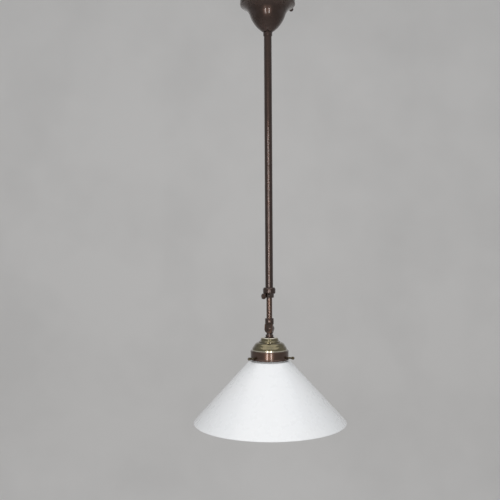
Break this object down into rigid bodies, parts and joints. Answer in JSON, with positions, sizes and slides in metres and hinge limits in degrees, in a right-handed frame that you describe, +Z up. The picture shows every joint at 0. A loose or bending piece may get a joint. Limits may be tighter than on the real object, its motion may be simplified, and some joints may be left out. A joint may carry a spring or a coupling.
{
  "type": "rise and fall pendant",
  "caption": "Ceiling pendant: bell canopy, telescopic bronze tube with a thumbscrew lock, tilting knuckle, stepped gallery and a white opal glass cone shade.",
  "frame": {"origin": "on the ceiling plane, midway between the strap's two ceiling screw holes, on the lamp's axis", "axes": "+Z up along the tube, +X to the right and +Y away from the viewer of the picture"},
  "size_m": [0.2492, 0.2492, 0.6951],
  "materials": {
    "dark_bronze": "dark antique bronze, lacquered",
    "copper_bronze": "coppery antique bronze, polished",
    "aged_brass": "aged brass with a green cast",
    "raw_brass": "plain turned brass",
    "zinc_steel": "zinc plated steel",
    "spring_steel": "drawn spring wire",
    "white_nylon": "moulded nylon",
    "porcelain": "glazed porcelain",
    "fibre": "red vulcanised fibre",
    "opal_glass": "white opal glass, gloss"
  },
  "bodies": {
    "root": {"ceiling_strap": "zinc_steel", "terminal_block": "white_nylon", "terminal_screws": "zinc_steel", "block_screw": "zinc_steel", "earth_screw": "raw_brass", "canopy": "dark_bronze", "canopy_seat": "raw_brass", "canopy_nut": "raw_brass", "canopy_ring": "dark_bronze", "end_bush": "white_nylon", "outer_tube": "dark_bronze", "lock_collar": "dark_bronze"},
    "canopy_screw_right": {"canopy_screw_right": "dark_bronze"},
    "canopy_screw_left": {"canopy_screw_left": "dark_bronze"},
    "clamp_pad": {"clamp_pad": "raw_brass"},
    "clamp_screw": {"clamp_screw": "dark_bronze"},
    "slider": {"slide_bush": "white_nylon"},
    "stem": {"inner_tube": "copper_bronze", "stop_ring": "raw_brass", "bush_clip": "zinc_steel", "knuckle_upper": "dark_bronze", "pivot_screw": "dark_bronze", "spring_washer": "zinc_steel", "pivot_nut": "dark_bronze"},
    "shade_carrier": {"knuckle_lower": "dark_bronze", "friction_washer": "fibre", "cap_washer": "raw_brass", "nipple": "raw_brass", "gallery_cap": "aged_brass", "gallery_nut": "raw_brass", "gallery_ring": "copper_bronze", "glass_shade": "opal_glass", "holder_cap": "raw_brass", "union_ring": "raw_brass", "holder_core": "porcelain", "holder_barrel": "raw_brass", "holder_terminals": "raw_brass", "holder_terminal_screws": "zinc_steel", "plunger_spring_a": "spring_steel", "plunger_spring_b": "spring_steel"},
    "shade_screw_1": {"shade_screw_1": "aged_brass"},
    "shade_screw_2": {"shade_screw_2": "aged_brass"},
    "shade_screw_3": {"shade_screw_3": "aged_brass"},
    "plunger_a": {"plunger_a": "raw_brass"},
    "plunger_b": {"plunger_b": "raw_brass"}
  },
  "joints": [
    {"name": "canopy_screw_right_out", "type": "slide", "parent": "root", "child": "canopy_screw_right", "axis": [0.766, 0.6428, 0], "range_m": [0, 0.005]},
    {"name": "canopy_screw_left_out", "type": "slide", "parent": "root", "child": "canopy_screw_left", "axis": [-0.766, -0.6428, 0], "range_m": [0, 0.005]},
    {"name": "clamp_travel", "type": "slide", "parent": "root", "child": "clamp_pad", "axis": [-0.788, -0.6157, 0], "range_m": [0, 0.002]},
    {"name": "clamp_turn", "type": "hinge", "parent": "clamp_pad", "child": "clamp_screw", "pos_m": [0, 0, -0.4895], "axis": [-0.788, -0.6157, 0], "range_deg": [0, 1060]},
    {"name": "rise_and_fall", "type": "slide", "parent": "root", "child": "slider", "axis": [0, 0, 1], "range_m": [-0.345, 0.03]},
    {"name": "tube_turn", "type": "hinge", "parent": "slider", "child": "stem", "pos_m": [0, 0, -0.5257], "axis": [0, 0, 1], "range_deg": [-170, 170]},
    {"name": "shade_tilt", "type": "hinge", "parent": "stem", "child": "shade_carrier", "pos_m": [0, 0, -0.5433], "axis": [-0.342, -0.9397, 0], "range_deg": [-90, 90]},
    {"name": "shade_screw_1_out", "type": "slide", "parent": "shade_carrier", "child": "shade_screw_1", "axis": [0.91, -0.4147, 0], "range_m": [0, 0.004]},
    {"name": "shade_screw_2_out", "type": "slide", "parent": "shade_carrier", "child": "shade_screw_2", "axis": [-0.0958, 0.9954, 0], "range_m": [0, 0.004]},
    {"name": "shade_screw_3_out", "type": "slide", "parent": "shade_carrier", "child": "shade_screw_3", "axis": [-0.8141, -0.5807, 0], "range_m": [0, 0.004]},
    {"name": "plunger_a_press", "type": "slide", "parent": "shade_carrier", "child": "plunger_a", "axis": [0, 0, 1], "range_m": [0, 0.0035], "stiffness_N_per_m": 800, "springref_m": -0.001, "deforming": ["plunger_spring_a"]},
    {"name": "plunger_b_press", "type": "slide", "parent": "shade_carrier", "child": "plunger_b", "axis": [0, 0, 1], "range_m": [0, 0.0035], "stiffness_N_per_m": 800, "springref_m": -0.001, "deforming": ["plunger_spring_b"]}
  ],
  "couplings": [
    {"joint": "clamp_turn", "follows": "clamp_travel", "rad_per_m": 8976}
  ]
}
